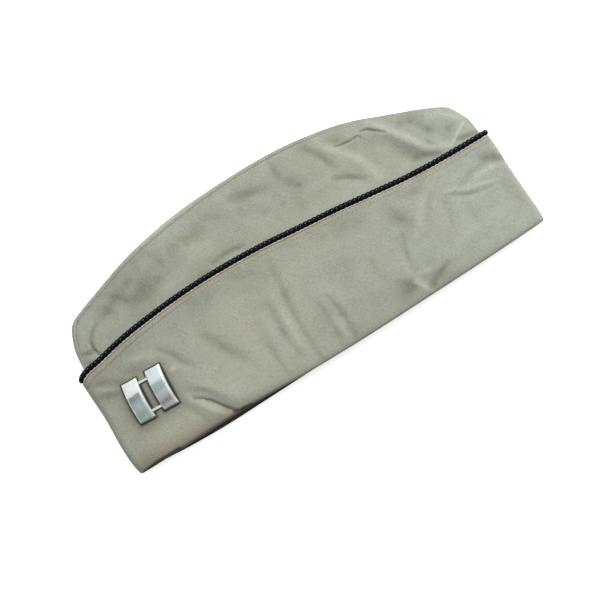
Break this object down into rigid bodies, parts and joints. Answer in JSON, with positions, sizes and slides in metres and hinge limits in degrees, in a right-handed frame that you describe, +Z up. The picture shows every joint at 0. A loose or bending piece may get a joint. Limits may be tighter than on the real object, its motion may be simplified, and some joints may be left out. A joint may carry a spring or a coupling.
{
  "type": "garrison cap",
  "caption": "Soft cloth garrison cap lying flat on its right side: folded crown, turned-up curtain edged with a twisted cord, leather sweatband and a metal badge of bars.",
  "frame": {"origin": "middle of the footprint, on the surface that the cap lies on", "axes": "+X from the front fold to the rear fold, +Y up the crown, +Z up from the surface towards the wearer's left side of the cap"},
  "size_m": [0.2816, 0.1228, 0.0171],
  "materials": {
    "khaki_cloth": "washed khaki cotton in a fine weave, softly mottled, matt",
    "brown_leather": "thin dark brown leather, dull with wear",
    "dark_cord": "black three-ply twisted cord with a fine blue-grey thread in its grooves",
    "worn_silver": "satin silver colour, scratched and slightly tarnished"
  },
  "bodies": {
    "root": {"crown_left": "khaki_cloth", "crown_right": "khaki_cloth", "crown_gusset": "khaki_cloth", "curtain_left": "khaki_cloth", "curtain_right": "khaki_cloth", "sweatband": "brown_leather", "braid": "dark_cord", "rank_bars": "worn_silver"}
  },
  "joints": []
}
